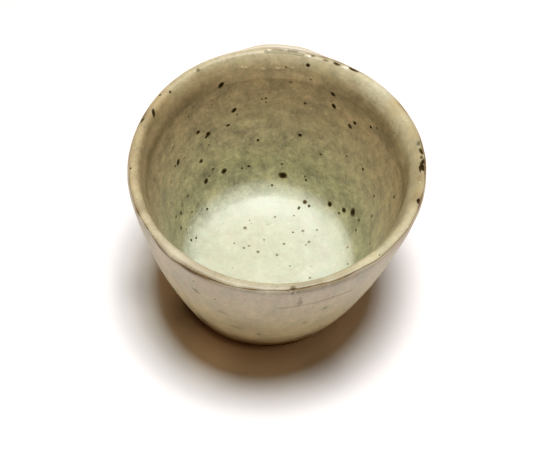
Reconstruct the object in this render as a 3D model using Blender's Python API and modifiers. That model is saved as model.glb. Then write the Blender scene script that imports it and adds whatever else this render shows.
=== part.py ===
"""Soba choko: a small wheel-thrown stoneware cup for dipping sauce.

The cup is one turned clay body under two coats of glaze. The inner coat is poured in and runs over
the crest of the lip. The outer coat is dipped on, and stops above the foot. A thin line of bare clay
is left between the two coats on the lip, and a wavy band of it round the foot.
Units are metres, +Z is up, and the cup stands on z = 0 with its mouth centred over the origin.
"""

import math

import bpy
from mathutils import Vector

# Outside of the clay body
MOUTH_RADIUS = 0.0396  # at the lip
CUP_HEIGHT = 0.0612  # crest of the lip above the table
BASE_RADIUS = 0.0230  # where the wall would meet the table if the base were not rounded
WALL_BOW = 0.0023  # how far the wall bows outwards at half height
BASE_ROUNDING = 0.0026  # radius of the turned corner between wall and foot

# Inside of the clay body
WALL = 0.0030  # clay thickness
LIP_SWELL = 0.0003  # the wall is thicker by this just under the lip
LIP_SWELL_HEIGHT = 0.0555
LIP_SWELL_REACH = 0.0030
CREST_SETBACK = 0.00105  # crest of the lip, in from its outer face
LIP_SETBACK = 0.0029  # corner that the lip's inner rounding follows, in from its outer face
LIP_DROP = 0.0070  # how far that rounding reaches down the inside
FLOOR_HEIGHT = 0.0092  # middle of the inside floor above the table
FLOOR_RADIUS = 0.0223  # edge of the dished floor
FLOOR_DISH = 0.0022  # rise of the floor at that edge
DISH_POWER = 4  # the floor is nearly level in the middle and rises near its edge
FLOOR_CURVE_TOP = 0.0170  # height at which the curve between floor and wall ends

# Foot ring and the hollow turned inside it
FOOT_WIDTH = 0.0046
RECESS_DEPTH = 0.0024
RECESS_SLOPE = 0.0014  # how far the side of the hollow leans in

# Glaze coats
INNER_COAT = 0.00045
OUTER_COAT = 0.00040
EDGE_COAT = 0.00020  # both coats thin out to this at their edges
COAT_SEAT = 0.00015  # clearance between clay and coat
LIP_LINE_SETBACK = 0.0003  # the inner coat ends this far inside the outer face of the lip
LIP_LINE_DROP = 0.0006  # the outer coat starts this far under the crest
GLAZE_LINE = 0.0042  # mean height of the outer coat's lower edge
GLAZE_LINE_WAVE = 0.0012  # how far that edge climbs and dips
GLAZE_LINE_REACH = 0.0080  # height over which the wave dies away
LONG_WAVES = 2  # waves of that edge round the foot, with shorter ones over them
SHORT_WAVES = 5
SHORT_WAVE_SHARE = 0.4  # share of the wave's height that the shorter ones take
GLAZE_WAVE_TURN = math.radians(220)

# Unevenness left by the hand
FOOT_OFFSET = -0.0020  # the outside was turned off the mouth's axis, along X
HOLLOW_SHARE = 0.57  # share of that offset which the inside has
HOLLOW_OFFSET = (-0.00028, -0.00036)  # shift of the inside under the lip, which thins the wall on one side
MOUTH_LOBES = 3  # the mouth is drawn out in shallow lobes, where the lip also rises
MOUTH_LOBE = 0.00020  # departure of the mouth from a circle
LIP_WAVE = 0.00025  # rise and fall of the lip
GLAZE_ROLL = 0.0011  # the outer coat gathers in a roll on one stretch of the lip, at the back
GLAZE_ROLL_ANGLE = math.radians(90)
GLAZE_ROLL_WIDTH = math.radians(13)
GLAZE_ROLL_HEIGHT = 0.0050  # how far the roll reaches down the wall

# Facets
TURN_STEPS = 60
FLOOR_STEPS = 5
FLOOR_CURVE_STEPS = 5
WALL_STEPS = 6
LIP_STEPS = 5
LIP_EDGE_STEPS = 2
RECESS_STEPS = 2
GLAZE_LINE_STEPS = 5
CORNER_STEPS = 4
MERGE_DISTANCE = 0.00001
SHARP_ANGLE = math.radians(40)

INSIDE = (0, 0, 0)  # a point that goes with the inside
OUTSIDE = (1, 0, 0)  # a point that goes with the off-centre outside


def wall_radius(height):
    """Outer radius of the clay wall, with the base corner rounded off."""
    share = height / CUP_HEIGHT
    radius = BASE_RADIUS + (MOUTH_RADIUS - BASE_RADIUS) * share + 4 * WALL_BOW * share * (1 - share)
    if height < BASE_ROUNDING:
        drop = BASE_ROUNDING - height
        radius -= BASE_ROUNDING - math.sqrt(BASE_ROUNDING**2 - drop**2)
    return radius


def hollow_radius(height):
    """Inner radius of the clay wall, which swells a little under the lip."""
    swell = LIP_SWELL * math.exp(-(((height - LIP_SWELL_HEIGHT) / LIP_SWELL_REACH) ** 2))
    return wall_radius(height) - WALL - swell


def spread(first, last, steps):
    """Evenly spaced values from first to last, with both ends."""
    return [first + (last - first) * step / steps for step in range(steps + 1)]


def bend(start, corner, end, shares):
    """Points at the given shares of a quadratic curve, which leaves and arrives along its corner."""
    return [(1 - t) ** 2 * start + 2 * t * (1 - t) * corner + t**2 * end for t in shares]


def lip_crest():
    """Highest point of the clay profile."""
    return Vector((MOUTH_RADIUS - CREST_SETBACK, CUP_HEIGHT))


def outer_lip(shares):
    """Points on the outer half of the rounded lip, from the crest at share 0 to the wall at share 1."""
    wall_top = CUP_HEIGHT - CREST_SETBACK
    lip_corner = Vector((MOUTH_RADIUS, CUP_HEIGHT))
    return bend(lip_crest(), lip_corner, Vector((wall_radius(wall_top), wall_top)), shares)


def floor_point(radius):
    """Point of the dished inside floor."""
    return Vector((radius, FLOOR_HEIGHT + FLOOR_DISH * (radius / FLOOR_RADIUS) ** DISH_POWER))


def floor_corner(floor_end, wall_start):
    """Where the slope of the floor's edge and the lean of the wall above it would meet."""
    slope = DISH_POWER * FLOOR_DISH / FLOOR_RADIUS
    flare = MOUTH_RADIUS - BASE_RADIUS + 4 * WALL_BOW * (1 - 2 * FLOOR_CURVE_TOP / CUP_HEIGHT)
    lean = flare / CUP_HEIGHT
    way = wall_start - floor_end
    return floor_end + Vector((1, slope)) * (way.x - lean * way.y) / (1 - lean * slope)


def inner_stretch():
    """Clay profile as (radius, height) from the middle of the inside floor over the crest of the lip."""
    points = [floor_point(radius) for radius in spread(0, FLOOR_RADIUS, FLOOR_STEPS)]
    wall_start = Vector((hollow_radius(FLOOR_CURVE_TOP), FLOOR_CURVE_TOP))
    corner = floor_corner(points[-1], wall_start)
    points += bend(points[-1], corner, wall_start, spread(0, 1, FLOOR_CURVE_STEPS)[1:])
    for height in spread(FLOOR_CURVE_TOP, CUP_HEIGHT - LIP_DROP, WALL_STEPS)[1:]:
        points.append(Vector((hollow_radius(height), height)))
    lip_corner = Vector((MOUTH_RADIUS - LIP_SETBACK, CUP_HEIGHT))
    points += bend(points[-1], lip_corner, lip_crest(), spread(0, 1, LIP_STEPS)[1:])
    inner_coat_end = 1 - math.sqrt(LIP_LINE_SETBACK / CREST_SETBACK)
    return points + outer_lip(spread(0, inner_coat_end, LIP_EDGE_STEPS)[1:])


def outer_stretch():
    """Clay profile from the lower side of the bare line on the lip down to the glaze line."""
    outer_coat_start = math.sqrt(LIP_LINE_DROP / CREST_SETBACK)
    points = outer_lip(spread(outer_coat_start, 1, LIP_EDGE_STEPS))
    wall_top = points[-1].y
    wave_top = GLAZE_LINE + GLAZE_LINE_REACH
    heights = spread(wall_top, wave_top, WALL_STEPS)[1:]
    heights += [GLAZE_LINE + GLAZE_LINE_REACH * share**2 for share in spread(1, 0, GLAZE_LINE_STEPS)[1:]]
    return points + [Vector((wall_radius(height), height)) for height in heights]


def foot_stretch():
    """Bare clay profile from the glaze line round the foot to the middle of the hollow under it."""
    heights = [GLAZE_LINE * share**2 for share in spread(1, 0, CORNER_STEPS)[1:]]
    points = [Vector((wall_radius(height), height)) for height in heights]
    ring_inner = wall_radius(0) - FOOT_WIDTH
    points.append(Vector((ring_inner, 0)))
    recess_radii = spread(ring_inner - RECESS_SLOPE, 0, RECESS_STEPS)
    return points + [Vector((radius, RECESS_DEPTH)) for radius in recess_radii]


def off_clay(profile, distance, first, last):
    """A stretch of the clay profile moved out from the clay by a distance given for each point."""
    moved = []
    for index in range(first, last):
        before = profile[max(index - 1, 0)]
        after = profile[min(index + 1, len(profile) - 1)]
        along = (after - before).normalized()
        moved.append(profile[index] + Vector((-along.y, along.x)) * distance(index))
    return moved


def coat_sides(profile, coat, first, last, thin_ends):
    """Face and seat of a coat that lies on a stretch of the clay profile."""
    def face_distance(index):
        return COAT_SEAT + (EDGE_COAT if index in thin_ends else coat)

    def seat_distance(index):
        return COAT_SEAT

    return off_clay(profile, face_distance, first, last), off_clay(profile, seat_distance, first, last)


def line_share(height):
    """How far a point of the outer coat follows the wave of its lower edge: 1 there, 0 well above."""
    share = 1 - (height - GLAZE_LINE) / GLAZE_LINE_REACH
    return min(max(share, 0), 1) ** 2


def glaze_wave(angle):
    """Rise and dip of the glaze line round the foot, from -1 to 1."""
    long_wave = math.sin(LONG_WAVES * angle + GLAZE_WAVE_TURN)
    short_wave = math.cos(SHORT_WAVES * angle + GLAZE_WAVE_TURN)
    return long_wave + SHORT_WAVE_SHARE * (short_wave - long_wave)


def roll_share(height):
    """How far a point on the face of the outer coat follows the roll at the lip: 1 there, 0 well below."""
    return math.exp(-(((CUP_HEIGHT - height) / GLAZE_ROLL_HEIGHT) ** 2))


def hand_thrown(point, side, line, roll):
    """Where a point of the true turned form lies on the uneven, hand-made cup."""
    angle = math.atan2(point.y, point.x)
    radius = math.hypot(point.x, point.y)
    height = point.z + line * GLAZE_LINE_WAVE * glaze_wave(angle)
    radius += wall_radius(height) - wall_radius(point.z)
    around_roll = math.remainder(angle - GLAZE_ROLL_ANGLE, 2 * math.pi) / GLAZE_ROLL_WIDTH
    radius += roll * GLAZE_ROLL * math.exp(-around_roll**2)
    share = height / CUP_HEIGHT
    radius += MOUTH_LOBE * share**2 * math.cos(MOUTH_LOBES * angle)
    rise = LIP_WAVE * share**4 * math.cos(MOUTH_LOBES * angle)
    lean = FOOT_OFFSET * (HOLLOW_SHARE + (1 - HOLLOW_SHARE) * side) * (1 - share)
    up_lip = min(max((height - CUP_HEIGHT) / LIP_DROP + 1, 0), 1)
    shift = Vector((*HOLLOW_OFFSET, 0)) * (1 - side) * share**2 * (1 - up_lip**4)
    away = Vector((point.x, point.y, 0)).normalized()
    return away * radius + shift + Vector((lean, 0, height + rise))


def glazed_or_bare(name, color, roughness):
    """A plain ceramic surface of one colour and gloss."""
    material = bpy.data.materials.new(name)
    material.use_nodes = True
    shader = material.node_tree.nodes["Principled BSDF"]
    shader.inputs["Base Color"].default_value = (*color, 1)
    shader.inputs["Roughness"].default_value = roughness
    shader.inputs["Metallic"].default_value = 0
    return material


def turned(name, section, closed, follows, material, collection):
    """Turn a section about Z, make it uneven as the hand does, and add it as a finished piece.

    follows gives, for each point of the section, how far it follows the off-centre outside, the wave of
    the glaze line and the roll of glaze at the lip.
    """
    mesh = bpy.data.meshes.new(name)
    edges = [(index, index + 1) for index in range(len(section) - 1)]
    if closed:
        edges.append((len(section) - 1, 0))
    mesh.from_pydata([(point.x, 0, point.y) for point in section], edges, [])
    mesh.attributes.new("follows", "FLOAT_VECTOR", "POINT")
    for entry, shares in zip(mesh.attributes["follows"].data, follows):
        entry.vector = shares
    piece = bpy.data.objects.new(name, mesh)
    collection.objects.link(piece)
    screw = piece.modifiers.new("Turn", "SCREW")
    screw.steps = TURN_STEPS
    screw.render_steps = TURN_STEPS
    screw.use_merge_vertices = True
    screw.merge_threshold = MERGE_DISTANCE
    turned_mesh = bpy.data.meshes.new_from_object(piece.evaluated_get(bpy.context.evaluated_depsgraph_get()))
    piece.modifiers.clear()
    piece.data = turned_mesh
    turned_mesh.name = name
    bpy.data.meshes.remove(mesh)
    for vertex, shares in zip(turned_mesh.vertices, turned_mesh.attributes["follows"].data):
        vertex.co = hand_thrown(vertex.co, *shares.vector)
    turned_mesh.shade_smooth()
    turned_mesh.set_sharp_from_angle(angle=SHARP_ANGLE)
    turned_mesh.materials.clear()
    turned_mesh.materials.append(material)
    return piece


def build_cup():
    """Model the clay body and its two coats."""
    for leftover in list(bpy.data.objects):
        bpy.data.objects.remove(leftover)
    cup = bpy.data.collections.new("soba_choko_cup")
    bpy.context.scene.collection.children.link(cup)

    inner = inner_stretch()
    outer = outer_stretch()
    clay = inner + outer + foot_stretch()
    lip_line = len(inner)
    glaze_line = lip_line + len(outer)

    stoneware = glazed_or_bare("Bare stoneware", (0.17, 0.085, 0.042), 0.75)
    clay_follows = [INSIDE] * lip_line + [OUTSIDE] * (len(clay) - lip_line)
    turned("clay_body", clay, False, clay_follows, stoneware, cup)

    poured = glazed_or_bare("Poured ash glaze", (0.47, 0.43, 0.30), 0.25)
    face, seat = coat_sides(clay, INNER_COAT, 0, lip_line, [lip_line - 1])
    inner_follows = [INSIDE] * (len(face) + len(seat))
    turned("inner_glaze", face + seat[::-1], False, inner_follows, poured, cup)

    dipped = glazed_or_bare("Dipped ash glaze", (0.36, 0.30, 0.22), 0.35)
    face, seat = coat_sides(clay, OUTER_COAT, lip_line, glaze_line, [lip_line, glaze_line - 1])
    face_follows = [(1, line_share(point.y), roll_share(point.y)) for point in face]
    seat_follows = [(1, line_share(point.y), 0) for point in seat]
    turned("outer_glaze", face + seat[::-1], True, face_follows + seat_follows[::-1], dipped, cup)


build_cup()
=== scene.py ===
"""Looks of the soba choko cup: thrown stoneware under two ash glazes, with iron specks.

The shells repeat the turned form of the solids, finely enough to carry throwing rings, the uneven lip
and the rounded edges of the glaze. The specks are beads of iron that bled through, laid on the glaze by
a Geometry Nodes tree. Units are metres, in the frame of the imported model.
"""

import logging
import math
from dataclasses import dataclass
from enum import Enum

import bpy
import numpy as np
from mathutils import Matrix, Vector, noise
from mathutils.bvhtree import BVHTree


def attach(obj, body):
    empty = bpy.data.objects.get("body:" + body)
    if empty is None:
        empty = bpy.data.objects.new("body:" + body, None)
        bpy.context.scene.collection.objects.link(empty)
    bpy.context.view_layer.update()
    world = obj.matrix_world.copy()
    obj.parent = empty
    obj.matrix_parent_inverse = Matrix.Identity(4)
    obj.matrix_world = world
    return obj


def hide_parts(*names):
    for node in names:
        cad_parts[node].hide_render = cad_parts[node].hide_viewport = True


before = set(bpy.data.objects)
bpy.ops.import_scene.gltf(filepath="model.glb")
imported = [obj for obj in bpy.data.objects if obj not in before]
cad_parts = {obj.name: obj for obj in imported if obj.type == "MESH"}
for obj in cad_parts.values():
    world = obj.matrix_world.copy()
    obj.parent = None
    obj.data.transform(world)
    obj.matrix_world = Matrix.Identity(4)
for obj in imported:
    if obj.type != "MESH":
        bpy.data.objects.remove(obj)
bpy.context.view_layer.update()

BODY = "root"
MILLIMETRE = 0.001
PHOTO_WIDTH = 550
PHOTO_HEIGHT = 450
AROUND = 256  # columns of a shell round the axis
TINY = 1e-9  # anything narrower is a point
NOISE_MIDDLE = 0.5  # mean of a noise node
PLAIN = (1, 1, 1)  # leaves a colour as it is

# Kinds of node that come up often
MATH = "ShaderNodeMath"
VECTOR = "ShaderNodeVectorMath"
RANGE = "ShaderNodeMapRange"
MIX = "ShaderNodeMix"
RAMP = "ShaderNodeValToRGB"
NOISE = "ShaderNodeTexNoise"
SPLIT = "ShaderNodeSeparateXYZ"
MARK = "ShaderNodeAttribute"
NAMED = "GeometryNodeInputNamedAttribute"
STORE = "GeometryNodeStoreNamedAttribute"

Colour = tuple[float, float, float, float]
Triple = tuple[float, float, float]
Pair = tuple[float, float]
log = logging.getLogger("soba_choko")


def linear(hex_colour: str) -> Colour:
    """Turn an sRGB hex colour into the linear colour that a socket takes.

    Args:
        hex_colour: Six hex digits, such as "d8cfae".

    Returns:
        Linear red, green and blue, and an alpha of 1.
    """
    shares = [int(hex_colour[start:start + 2], 16) / 255 for start in (0, 2, 4)]
    red, green, blue = [s / 12.92 if s <= 0.04045 else ((s + 0.055) / 1.055) ** 2.4 for s in shares]
    return red, green, blue, 1.0


def wire(tree: bpy.types.NodeTree, node: bpy.types.Node, inputs: dict) -> None:
    """Link or set a node's inputs.

    Args:
        tree: Node tree that holds the node.
        node: Node whose inputs are meant.
        inputs: Socket to link from, list of such sockets, or value to set, by input name or index.
    """
    for key, given in inputs.items():
        for value in given if isinstance(given, list) else [given]:
            if isinstance(value, bpy.types.NodeSocket):
                tree.links.new(value, node.inputs[key])
            else:
                node.inputs[key].default_value = value


def add(tree: bpy.types.NodeTree, kind: str, *first: object, inputs: dict | None = None,
        stops: list | None = None, **settings: object) -> bpy.types.NodeOutputs:
    """Add a node with its settings and links.

    Args:
        tree: Node tree that gets the node.
        kind: Blender's name for the node type.
        *first: What the first inputs take, in their order.
        inputs: What other inputs take, by name or index.
        stops: Position and colour of each stop of a colour ramp.
        **settings: Properties of the node.

    Returns:
        Outputs of the new node.
    """
    node = tree.nodes.new(kind)
    for name, value in settings.items():
        setattr(node, name, value)
    wire(tree, node, dict(enumerate(first)) | (inputs or {}))
    if stops:
        elements = node.color_ramp.elements
        elements.remove(elements[1])
        elements[0].position, elements[0].color = stops[0]
        for position, colour in stops[1:]:
            elements.new(position).color = colour
    return node.outputs


def seen_directly(tree: bpy.types.NodeTree) -> bpy.types.NodeSocket:
    """Tell the rays that show a surface, straight or mirrored, from those that only carry light.

    Args:
        tree: Node tree that gets the nodes.

    Returns:
        Socket that gives 1 for a ray that shows the surface.
    """
    rays = add(tree, "ShaderNodeLightPath")
    seen = rays["Is Camera Ray"]
    for kind in ("Is Glossy Ray", "Is Transmission Ray"):
        seen = add(tree, MATH, seen, rays[kind], operation="MAXIMUM")[0]
    return seen


def new_finish(name: str) -> tuple[bpy.types.Material, bpy.types.NodeTree, bpy.types.Node]:
    """Make a material that is ready for its nodes.

    Args:
        name: Name of the material.

    Returns:
        The material, its tree and its shader.
    """
    material = bpy.data.materials.new(name)
    material.use_nodes = True
    return material, material.node_tree, material.node_tree.nodes["Principled BSDF"]


def new_object(name: str, data: bpy.types.ID) -> bpy.types.Object:
    """Make an object at the origin and put it in the scene.

    Args:
        name: Name of the object.
        data: Its mesh, camera or lamp.

    Returns:
        The object.
    """
    made = bpy.data.objects.new(name, data)
    bpy.context.scene.collection.objects.link(made)
    return made


def table(kind: type, *rows: tuple[float, ...]) -> tuple:
    """Make one thing of a kind from each row of its values."""
    return tuple(kind(*row) for row in rows)


def smooth_noise(points: np.ndarray, size: float) -> np.ndarray:
    """Sample Blender's noise, which is the same each run.

    Args:
        points: Places as an array that ends in x, y, z.
        size: Rough width of a lump in metres.

    Returns:
        Values from about -1 to 1, one for each place.
    """
    flat = points.reshape(-1, 3) / size
    return np.array([noise.noise(Vector(place)) for place in flat]).reshape(points.shape[:-1])


def around(angle: np.ndarray, middle: float) -> np.ndarray:
    """Signed way round from a middle angle, in radians from -pi to pi."""
    return (angle - middle + math.pi) % (2 * math.pi) - math.pi


def bell(way: np.ndarray, power: int = 2) -> np.ndarray:
    """Fade from 1 in the middle to nothing, with a flatter top for a higher power."""
    return np.exp(-(way**power))


def circle(angle: np.ndarray, radius: float) -> np.ndarray:
    """Places on a circle about the axis, for noise that closes on itself."""
    return np.stack((radius * np.cos(angle), radius * np.sin(angle), np.zeros_like(angle)), axis=-1)


class Unwrap(Enum):
    """How a shell is laid flat for baking."""

    DISC = "disc"
    STRIP = "strip"


class Side(Enum):
    """Which of the two turned surfaces a point belongs to."""

    INSIDE = 0.57  # share of the foot's offset that it follows
    OUTSIDE = 1.0


@dataclass(frozen=True)
class PhotoView:
    """Camera that was fitted to the rim and the base of the cup in the photograph."""

    target: Triple = (0.00008, 0.0, 0.0307)
    distance: float = 0.400
    elevation: float = math.radians(57.25)
    roll: float = math.radians(1.81)
    focal_pixels: float = 1399.3
    sensor_width: float = 36.0
    clip_start: float = 0.01

    def axes(self) -> tuple[Vector, Vector, Vector]:
        """Work out the camera's directions.

        Returns:
            Right, up and forward as unit vectors.
        """
        forward = Vector((0, math.cos(self.elevation), -math.sin(self.elevation)))
        level = Vector((1, 0, 0))
        upright = level.cross(forward)
        right = level * math.cos(self.roll) + upright * math.sin(self.roll)
        return right, right.cross(forward), forward

    def eye(self) -> Vector:
        """Where the camera stands."""
        return Vector(self.target) - self.axes()[2] * self.distance

    def ray(self, x: float, y: float) -> Vector:
        """Find the direction in which the camera sees a pixel.

        Args:
            x: Pixel column from the left.
            y: Pixel row from the top.

        Returns:
            Unit vector from the eye.
        """
        right, up, forward = self.axes()
        across = (x - PHOTO_WIDTH / 2) / self.focal_pixels
        upward = (PHOTO_HEIGHT / 2 - y) / self.focal_pixels
        return (right * across + up * upward + forward).normalized()

    def build(self) -> None:
        """Add the camera and make it the scene's own."""
        data = bpy.data.cameras.new("photo_view")
        data.sensor_width = self.sensor_width
        data.lens = self.focal_pixels * self.sensor_width / PHOTO_WIDTH
        data.clip_start = self.clip_start
        camera = new_object("photo_view", data)
        right, up, forward = self.axes()
        turn = Matrix((right, up, -forward)).transposed().to_4x4()
        camera.matrix_world = Matrix.Translation(self.eye()) @ turn
        bpy.context.scene.camera = camera


@dataclass(frozen=True)
class CupForm:
    """Turned form of the cup, with the sizes that the solids have."""

    mouth_radius: float = 0.0396
    height: float = 0.0612
    base_radius: float = 0.0230
    wall_bow: float = 0.0023
    base_rounding: float = 0.0026
    wall: float = 0.0030
    crest_setback: float = 0.00105
    lip_setback: float = 0.0029
    lip_drop: float = 0.0070
    lip_swell: float = 0.0003  # thickening of the wall under the lip
    lip_swell_height: float = 0.0555
    lip_swell_reach: float = 0.0030
    floor_height: float = 0.0092
    floor_radius: float = 0.0223
    floor_dish: float = 0.0022
    dish_power: int = 4
    floor_curve_top: float = 0.0170
    foot_width: float = 0.0046
    recess_depth: float = 0.0024
    recess_slope: float = 0.0014
    foot_edge: float = 0.0007  # rounding of the foot ring's inner edge
    foot_offset: float = -0.0020
    hollow_offset: Pair = (-0.00028, -0.00036)  # of the inside at the mouth
    thin_lip: float = 0.0006  # how much thinner the lip is on one stretch
    thin_lip_middle: float = math.radians(209)
    thin_lip_reach: float = math.radians(17)
    mouth_lobes: int = 3
    mouth_lobe: float = 0.00020
    lip_wave: float = 0.00025

    def wall_radius(self, height: np.ndarray) -> np.ndarray:
        """Find the outer radius of the clay, with the base corner rounded off.

        Args:
            height: Heights above the table.

        Returns:
            Radius at each height.
        """
        share = height / self.height
        rising = self.base_radius + (self.mouth_radius - self.base_radius) * share
        drop = np.clip(self.base_rounding - height, 0, self.base_rounding)
        rounding = self.base_rounding - np.sqrt(self.base_rounding**2 - drop**2)
        return rising + 4 * self.wall_bow * share * (1 - share) - rounding

    def hollow_radius(self, height: np.ndarray) -> np.ndarray:
        """Inner radius of the clay at some heights."""
        swell = self.lip_swell * bell((height - self.lip_swell_height) / self.lip_swell_reach)
        return self.wall_radius(height) - self.wall - swell

    def bend(self, start: np.ndarray | Pair, corner: np.ndarray | Pair, end: np.ndarray | Pair,
             shares: np.ndarray) -> np.ndarray:
        """Follow a quadratic curve that leaves and arrives along its corner.

        Args:
            start: Radius and height of the first point.
            corner: Radius and height of the corner.
            end: Radius and height of the last point.
            shares: How far along the curve each point lies, from 0 to 1.

        Returns:
            Radius and height of each point, in the last axis.
        """
        t = shares[..., None]
        return (1 - t) ** 2 * np.array(start) + 2 * t * (1 - t) * np.array(corner) + t**2 * np.array(end)

    def crest(self) -> Pair:
        """Radius and height of the top of the lip."""
        return self.mouth_radius - self.crest_setback, self.height

    def outer_lip(self, shares: np.ndarray) -> np.ndarray:
        """Follow the outer half of the rounded lip.

        Args:
            shares: How far each point lies from the crest, at 0, to the wall, at 1.

        Returns:
            Radius and height of each point.
        """
        wall_top = self.height - self.crest_setback
        end = (float(self.wall_radius(np.array(wall_top))), wall_top)
        return self.bend(self.crest(), (self.mouth_radius, self.height), end, shares)

    def inside(self, floor_steps: int, bend_steps: int, wall_steps: int, lip_steps: int) -> np.ndarray:
        """Follow the clay from the middle of the inside floor to the crest of the lip.

        Args:
            floor_steps: Steps over the dished floor.
            bend_steps: Steps round the bend between floor and wall.
            wall_steps: Steps up the wall.
            lip_steps: Steps over the inner half of the lip.

        Returns:
            Radius and height of each point.
        """
        radii = np.linspace(0, self.floor_radius, floor_steps + 1)
        rise = self.floor_dish * (radii / self.floor_radius) ** self.dish_power
        floor = np.column_stack((radii, self.floor_height + rise))
        heights = np.linspace(self.floor_curve_top, self.height - self.lip_drop, wall_steps + 1)
        wall = np.column_stack((self.hollow_radius(heights), heights))
        floor_slope = self.dish_power * self.floor_dish / self.floor_radius
        wall_lean = (wall[1, 0] - wall[0, 0]) / (wall[1, 1] - wall[0, 1])
        way = wall[0] - floor[-1]
        reach = (way[0] - wall_lean * way[1]) / (1 - wall_lean * floor_slope)
        corner = floor[-1] + reach * np.array((1, floor_slope))
        bend = self.bend(floor[-1], corner, wall[0], np.linspace(0, 1, bend_steps + 1)[1:-1])
        lip_corner = (self.mouth_radius - self.lip_setback, self.height)
        lip = self.bend(wall[-1], lip_corner, self.crest(), np.linspace(0, 1, lip_steps + 1)[1:])
        return np.concatenate((floor, bend, wall, lip))

    def under_foot(self, edge_steps: int, recess_steps: int) -> np.ndarray:
        """Follow the clay under the foot ring, from its outer edge to the middle of the hollow.

        Args:
            edge_steps: Steps round the ring's inner edge and up the side of the hollow.
            recess_steps: Steps over the roof of the hollow.

        Returns:
            Radius and height of each point.
        """
        outer = float(self.wall_radius(np.array(0.0)))
        inner = outer - self.foot_width
        ring = np.linspace((outer, 0), (inner + self.foot_edge, 0), edge_steps + 1)
        roof = (inner - self.recess_slope, self.recess_depth)
        rise = self.bend(ring[-1], (inner, 0), roof, np.linspace(0, 1, edge_steps + 1)[1:])
        hollow = np.linspace(roof, (0, self.recess_depth), recess_steps + 1)[1:]
        return np.concatenate((ring, rise, hollow))

    def thrown(self, section: np.ndarray, angle: np.ndarray, side: Side) -> np.ndarray:
        """Turn a section about the axis, as uneven as the hand left it.

        Args:
            section: Radius and height for each row and column.
            angle: Angle of each column.
            side: Which turned surface the section belongs to.

        Returns:
            Place of each row and column.
        """
        radius, height = section[..., 0], section[..., 1]
        share = height / self.height
        lobes = np.cos(self.mouth_lobes * angle) * np.minimum(1, radius / self.base_radius)
        radius = radius + self.mouth_lobe * share**2 * lobes
        lean = self.foot_offset * side.value * (1 - share)
        up_lip = np.clip((height - self.height) / self.lip_drop + 1, 0, 1)
        aside, back = self.hollow_offset if side is Side.INSIDE else (0, 0)
        shift = share**2 * (1 - up_lip**4)  # dies out on the crest of the lip
        if side is Side.INSIDE:
            thin = bell(around(angle, self.thin_lip_middle) / self.thin_lip_reach)
            radius = radius + self.thin_lip * thin * shift * up_lip
        rise = self.lip_wave * share**4 * lobes
        x = radius * np.cos(angle) + lean + aside * shift
        return np.stack((x, radius * np.sin(angle) + back * shift, height + rise), axis=-1)


@dataclass(frozen=True)
class HandMarks:
    """Relief that throwing and drying leave on the clay, which the glaze follows."""

    ring_pitch: float = 0.0036
    ring_depth: float = 0.00003
    dent_size: float = 0.016
    dent_depth: float = 0.00022
    lump_size: float = 0.0042
    lump_depth: float = 0.00009
    firm_shift: float = 0.05  # keeps one noise apart from the next
    lump_shift: float = 0.02

    def relief(self, points: np.ndarray) -> np.ndarray:
        """How far the surface stands out at some places.

        Args:
            points: Places on the even form.

        Returns:
            Distance out of the surface, in metres.
        """
        angle = np.arctan2(points[..., 1], points[..., 0])
        spiral = np.cos(2 * math.pi * points[..., 2] / self.ring_pitch - angle)
        firmness = 0.5 + 0.5 * smooth_noise(points + self.firm_shift, self.dent_size)
        dents = smooth_noise(points, self.dent_size)
        lumps = smooth_noise(points + self.lump_shift, self.lump_size)
        return self.ring_depth * spiral * firmness + self.dent_depth * dents + self.lump_depth * lumps


@dataclass(frozen=True)
class Stretch:
    """Stretch of the lip that differs from the rest."""

    middle: float  # degrees round from +X
    reach: float  # degrees to each side
    strength: float

    def share(self, angle: np.ndarray) -> np.ndarray:
        """How strongly it shows at some angles."""
        return self.strength * bell(np.degrees(around(angle, math.radians(self.middle))) / self.reach)


def strongest(angle: np.ndarray, stretches: tuple[Stretch, ...]) -> np.ndarray:
    """How strongly the nearest of some stretches shows at each angle, from 0 to 1."""
    return np.max([stretch.share(angle) for stretch in stretches], axis=0)


@dataclass(frozen=True)
class LipShade(Stretch):
    """Patch by the lip painted darker, partly stains and partly painted shade, and lighter below a strength
    of 0.
    """

    way: float  # millimetres from the lip line to the middle of the patch
    spread: float  # millimetres

    def share_at(self, angle: np.ndarray, way: np.ndarray) -> np.ndarray:
        """How much darker the glaze is at some angles and some ways from the line."""
        return self.share(angle) * bell((way / MILLIMETRE - self.way) / self.spread)


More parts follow.
